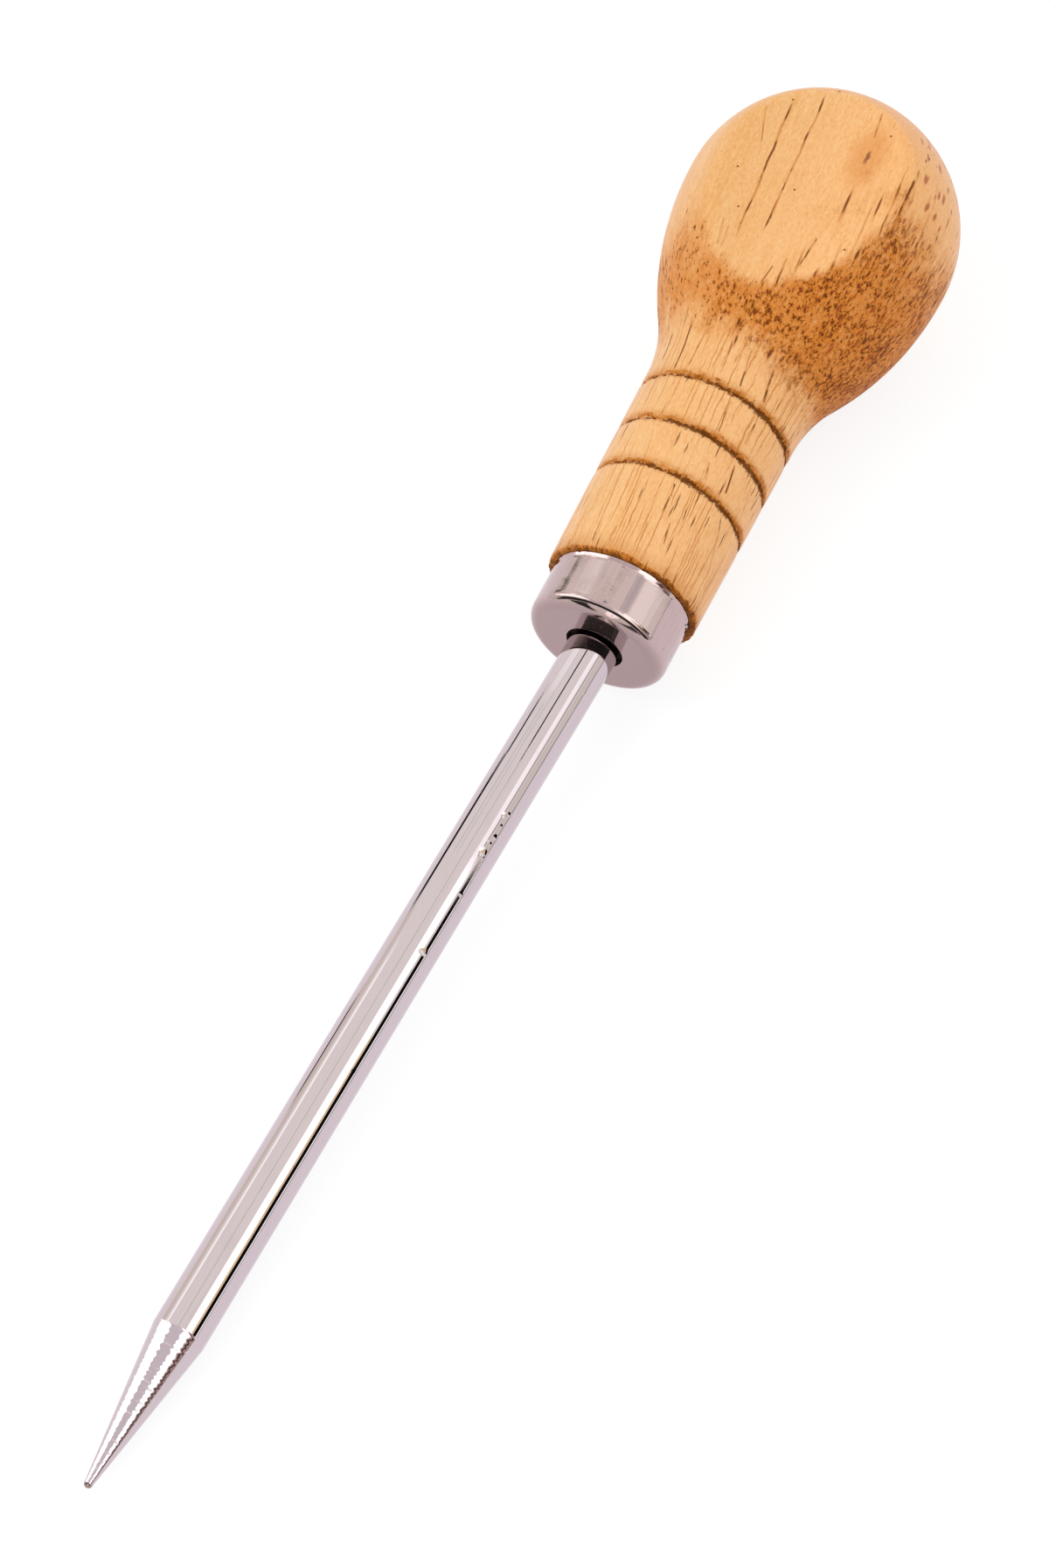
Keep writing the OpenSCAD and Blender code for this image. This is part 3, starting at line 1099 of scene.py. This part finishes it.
@dataclass
class Blade:
    """Round bar with a turned conical point, a shank in the ferrule's hole and a square tang in the wood."""

    frames: ToolFrame
    finish: SteelFinish = SteelFinish(
        tint=(0.62, 0.55, 0.565),
        stain=(0.3, 0.22, 0.17),
        roughness=0.01,
        streak=0.12,
        stained=0.08,
        relief=0.0012,
        wear_and_shade_from=(-111.0, -111.4),
        wear_and_shade_share=0.8,
    )
    segments: int = 128
    bar_len: float = 93.0
    point_len: float = 18.6
    tip_r: float = 0.5
    shank_lead: float = 0.3
    shank_step: float = 0.3
    shank_len: float = 2.0
    tang_len: float = 34.0
    tang_root_half: float = 1.85
    tang_end_half: float = 1.1
    corner_inset: float = 0.1
    edge_r: float = 0.08
    ripple: float = 0.0012
    ripple_pitch: float = 0.55
    ripple_drift: Wobble = Wobble(1.5, 4.2, 5.0)
    jags: Wobble = Wobble(1.0, 9.4, 0.011)
    jag_size: Triple = (1.1, 1.1, 0.35)
    drawn: Wobble = Wobble(4.0, 6.1, 0.004)
    dents: tuple[Dent, ...] = (
        Dent(-24.1, 230.5, 0.15, 0.022), Dent(-24.6, 221.0, 0.2, 0.02), Dent(-25.8, 226.0, 0.12, 0.012),
        Dent(-27.3, 228.8, 0.18, 0.022), Dent(-28.3, 224.2, 0.13, 0.014), Dent(-29.7, 222.4, 0.27, 0.035),
        Dent(-30.1, 229.6, 0.13, 0.016), Dent(-35.1, 230.4, 0.16, 0.03), Dent(-43.1, 220.2, 0.26, 0.04),
        Dent(-43.2, 227.2, 0.2, 0.035), Dent(-42.2, 266.2, 0.16, 0.03), Dent(-59.0, 226.2, 0.13, 0.02),
        Dent(-76.6, 194.2, 0.13, 0.03), Dent(-6.5, 232.0, 0.14, 0.02), Dent(-9.2, 229.0, 0.12, 0.015),
    )
    dented: Point = (-44.5, -22.5)
    step: float = 0.25
    dented_step: float = 0.12

    def section(self) -> Section:
        """Draws from the tip to the tang's end.

        Returns:
            The half section.
        """
        bar_r = self.frames.bar_r
        tip_z = -self.bar_len - self.point_len
        shank_r = bar_r - self.shank_step
        section = Section(0.0, tip_z)
        section.arc_to((0.0, tip_z + self.tip_r), self.tip_r, tip_z + self.tip_r, count=8)
        section.line_to(bar_r, -self.bar_len, self.ripple_pitch / 5)
        section.line_to(bar_r, self.dented[0], self.step)
        section.line_to(bar_r, self.dented[1], self.dented_step)
        section.line_to(bar_r, -self.shank_lead - self.edge_r, self.step)
        edge_centre = (bar_r - self.edge_r, -self.shank_lead - self.edge_r)
        section.arc_to(edge_centre, edge_centre[0], -self.shank_lead, count=4)
        section.line_to(shank_r, -self.shank_lead).line_to(shank_r, self.shank_len, step=0.5)
        section.line_to(shank_r - self.corner_inset, self.shank_len)
        section.line_to(self.tang_end_half, self.shank_len + self.tang_len, step=3.0)
        return section.line_to(0.0, self.shank_len + self.tang_len)

    def shape(self, point: Vector) -> Vector:
        """Turning ripples and jags on the point, the bar's dents and the square tang.

        Args:
            point: a point of the turned mesh.
        Returns:
            The point's place in the finished blade.
        """
        radius = math.hypot(point.x, point.y)
        if radius < MERGE_DIST:
            return point.copy()
        if point.z > self.shank_len + NEAR:
            share = (point.z - self.shank_len) / self.tang_len
            half = self.tang_root_half + (self.tang_end_half - self.tang_root_half) * share
            corner = self.frames.bar_r - self.shank_step - self.corner_inset
            size = min(corner, half * radius / max(abs(point.x), abs(point.y)))
        elif point.z < -self.bar_len and radius > self.tip_r:
            drift = self.ripple_drift.at(Vector((0, 0, point.z)))
            wave = math.sin(math.tau * point.z / self.ripple_pitch + drift)
            jags = self.jags.at(Vector([a / b for a, b in zip(point, self.jag_size)]))
            size = radius - self.ripple * (1.0 + wave) - self.jags.amount - jags
        else:
            size = radius - abs(self.drawn.at(point)) - sum(dent.depth_at(point) for dent in self.dents)
        return Vector((point.x * size / radius, point.y * size / radius, point.z))

    def build(self) -> None:
        """Builds the blade's mesh and dresses it."""
        mesh = self.section().turn(self.segments, self.shape)
        material = self.finish.build(Slot.BLADE.value, self.frames.blade)
        finish_piece(mesh, Node.BLADE, self.frames.blade, material, Slot.BLADE)


# Studio


@dataclass
class Camera:
    """The photo's camera, in millimetres."""

    place: Vector = field(default_factory=lambda: Vector((-234.9, -136.6, 408.8)))
    aim: Vector = field(default_factory=lambda: Vector((1.43, 2.39, 0.0)))
    roll: float = math.radians(-5.71)
    lens: float = 100.0

    def build(self) -> None:
        """Adds the camera and takes the picture through it."""
        data = bpy.data.cameras.new("camera")
        data.lens = self.lens
        data.clip_start = 0.01
        camera = add_object("camera", data)
        look = (self.aim - self.place).to_track_quat("-Z", "Y").to_matrix()
        turn = look @ Matrix.Rotation(self.roll, 3, "Z")
        camera.matrix_world = Matrix.Translation(self.place * MM) @ turn.to_4x4()
        bpy.context.scene.camera = camera


@dataclass(frozen=True)
class Strip:
    """A lit or dark strip of the room, by its degrees round the blade, its leans along it and its skew."""

    angles: Point
    leans: Point
    colour: Colour
    skew: float = 0.0


@dataclass
class Studio:
    """White bench, soft light and the strip-lit room that the steel mirrors."""

    frames: ToolFrame
    camera: Camera
    bench_half: float = 4.0
    bench_matt: Colour = grey(0.85)
    bench_seen: Colour = grey(1.12)
    bench_mirrored: Colour = (1.07, 1.0, 1.08)
    bench_glow: float = 0.75
    room_light: float = 0.89
    room_colour: Colour = (1.06, 1.03, 1.0)
    key_power: float = 1.95
    key_size: float = 0.5
    key_place: Vector = field(default_factory=lambda: Vector((-0.25, 0.45, 0.8)))
    # What the steel mirrors, later strips over earlier ones
    strips: tuple[Strip, ...] = (
        # In the point
        Strip((-96, -48), (-0.07, 0.16), grey(2.3), 80.0),
        Strip((-48, 3), (-0.07, 0.16), (0.86, 0.8, 0.85), 80.0),
        Strip((3, 35), (-0.07, 0.16), grey(2.3), 80.0),
        Strip((36, 70), (-0.07, 0.2), (0.5, 0.38, 0.36), 110.0),
        Strip((42, 52), (-0.07, 0.2), (0.1, 0.05, 0.04), 140.0),
        # In the front half of the bar
        Strip((-104, -84), (0.2, 0.374), (0.9, 0.82, 0.75)), Strip((-75, -66), (0.2, 0.363), grey(1.5)),
        Strip((-22, -19), (0.2, 0.413), grey(0.72)), Strip((14, 41), (0.2, 0.388), grey(2.1)),
        Strip((42, 48.5), (0.2, 0.345), (1.1, 0.82, 0.42)), Strip((49.5, 64), (0.2, 0.388), grey(0.004)),
        Strip((64.5, 69), (0.2, 0.388), grey(1.4)), Strip((69.5, 74), (0.2, 0.388), grey(0.004)),
        # In the back half of the bar and in the ferrule
        Strip((-110, -103), (0.325, 0.351), grey(0.01)), Strip((-110, -97), (0.374, 0.41), grey(0.01)),
        Strip((-102, -93), (0.41, 0.425), grey(0.05)), Strip((-68, -62), (0.388, 0.424), grey(0.85)),
        Strip((-52, -47), (0.388, 0.44), grey(0.88)), Strip((-78, -50), (0.428, 0.6), grey(1.27)),
        Strip((-23.5, -18), (0.413, 0.447), grey(0.01)), Strip((-19, -14), (0.461, 0.466), (0.4, 0.2, 0.14)),
        Strip((4, 17), (0.447, 0.6), (0.82, 0.81, 0.84)), Strip((15, 33), (0.388, 0.447), grey(1.5)),
        Strip((20, 46), (0.447, 0.6), grey(1.35)), Strip((46, 58), (0.447, 0.6), grey(1.2)),
        Strip((36, 40), (0.388, 0.447), grey(0.45)), Strip((44, 67), (0.388, 0.447), (0.92, 0.86, 0.8)),
        Strip((67, 71), (0.388, 0.447), grey(0.3)), Strip((72, 79), (0.47, 0.6), grey(0.01)),
        # In the image of the bar in the ferrule
        Strip((-100, -66), (-0.5, -0.38), grey(0.08)), Strip((48, 60), (-0.5, -0.38), grey(0.12)),
        # From the butt's side
        Strip((-78, -45), (-0.97, -0.56), grey(0.05)), Strip((-10, 14), (-0.97, -0.56), grey(2.0)),
        Strip((38, 62), (-0.97, -0.56), grey(0.1)),
        # From the tip's side
        Strip((-84, -56), (0.62, 0.97), grey(2.0)), Strip((-30, -14), (0.62, 0.97), grey(0.04)),
        Strip((8, 36), (0.62, 0.97), grey(2.0)), Strip((46, 58), (0.62, 0.97), grey(0.05)),
    )
    dark_side: Strip = Strip((-95, 95), (-0.52, -0.18), grey(0.03))
    middle_z: float = -50.0
    angle_edge: float = 0.7
    lean_edge: float = 0.004
    dark_angle_edge: float = 10.0
    dark_lean_edge: float = 0.05

    @staticmethod
    def inside(value: Value, limits: Point, edge: float) -> Value:
        """Mask of the values between a lower and an upper limit, with soft edges of half this width."""
        low, high = limits
        return value.rise(low - edge, low + edge) * value.rise(high + edge, high - edge)

    def room(self, tree: Tree, direction: NodeSocket) -> NodeSocket:
        """Colour of the room that mirrors see.

        Args:
            tree: the world's tree.
            direction: direction of the ray.
        Returns:
            The colour.
        """
        along = self.frames.blade.col[2].to_3d().normalized()
        middle = self.frames.blade @ Vector((0, 0, self.middle_z))
        to_camera = (self.camera.place * MM - middle).normalized()
        front = (to_camera - along * to_camera.dot(along)).normalized()
        right = along.cross(front)
        lean = tree.dot(direction, along)
        turn = tree.math("ARCTAN2", tree.dot(direction, right), tree.dot(direction, front))
        angle = turn * math.degrees(1.0)
        dark = self.dark_side
        mask = self.inside(angle, dark.angles, self.dark_angle_edge)
        mask = mask * self.inside(lean, dark.leans, self.dark_lean_edge)
        colour = tree.mix(mask, self.room_colour, dark.colour)
        for strip in self.strips:
            turned = angle + (lean - sum(strip.leans) / 2) * strip.skew if strip.skew else angle
            mask = self.inside(turned, strip.angles, self.angle_edge)
            mask = mask * self.inside(lean, strip.leans, self.lean_edge)
            colour = tree.mix(mask, colour, strip.colour)
        return colour

    def build_world(self) -> None:
        """Room light: even for matt surfaces, strips along the blade for mirrors, white for the camera."""
        world = bpy.data.worlds.new("room")
        bpy.context.scene.world = world
        tree = Tree(world)
        room = self.room(tree, tree.node("TexCoord").outputs["Generated"])
        colour = tree.mix(tree.rays("Is Glossy Ray", "Is Transmission Ray"), grey(self.room_light), room)
        colour = tree.mix(tree.rays("Is Camera Ray"), colour, grey(1.0))
        light = tree.output(tree.node("Background", None, {"Color": colour}))
        tree.node("OutputWorld", None, {"Surface": light})

    def build_bench(self) -> None:
        """White bench that keeps a faint shadow."""
        mesh = bmesh.new()
        bmesh.ops.create_grid(mesh, x_segments=1, y_segments=1, size=self.bench_half)
        data = bpy.data.meshes.new("bench")
        mesh.to_mesh(data)
        mesh.free()
        material = bpy.data.materials.new("bench")
        tree = Tree(material)
        seen = tree.rays("Is Camera Ray", "Is Glossy Ray", "Is Transmission Ray")
        matt = tree.output(tree.node("BsdfDiffuse", None, {"Color": self.bench_matt}))
        tint = tree.mix(tree.rays("Is Camera Ray"), self.bench_mirrored, self.bench_seen)
        glow = tree.output(tree.node("Emission", None, {"Color": tint}))
        surface = tree.output(tree.node("MixShader", None, {0: seen * self.bench_glow, 1: matt, 2: glow}))
        tree.node("OutputMaterial", None, {"Surface": surface})
        data.materials.append(material)
        bench = add_object("bench", data)

    def build_key(self) -> None:
        """Soft light from above the butt."""
        data = bpy.data.lights.new("key", "AREA")
        data.size = self.key_size
        data.energy = self.key_power
        light = add_object("key", data)
        light.visible_glossy = False
        light.location = self.key_place
        light.rotation_euler = (-self.key_place).to_track_quat("-Z", "Y").to_euler()

    def build(self) -> None:
        """Builds the bench, the light and the camera."""
        self.build_world()
        self.build_bench()
        self.build_key()
        self.camera.build()
        bpy.context.scene.view_settings.view_transform = "Standard"


def main() -> None:
    """Builds the tool and the studio round it."""
    logging.basicConfig(level=logging.INFO, format="%(name)s: %(message)s")
    frames = ToolFrame.from_record(frame["record"], Blade.shank_lead)
    for piece in (Handle(frames), Ferrule(frames), Blade(frames)):
        piece.build()
    Studio(frames, Camera()).build()


if __name__ == "__main__":
    main()
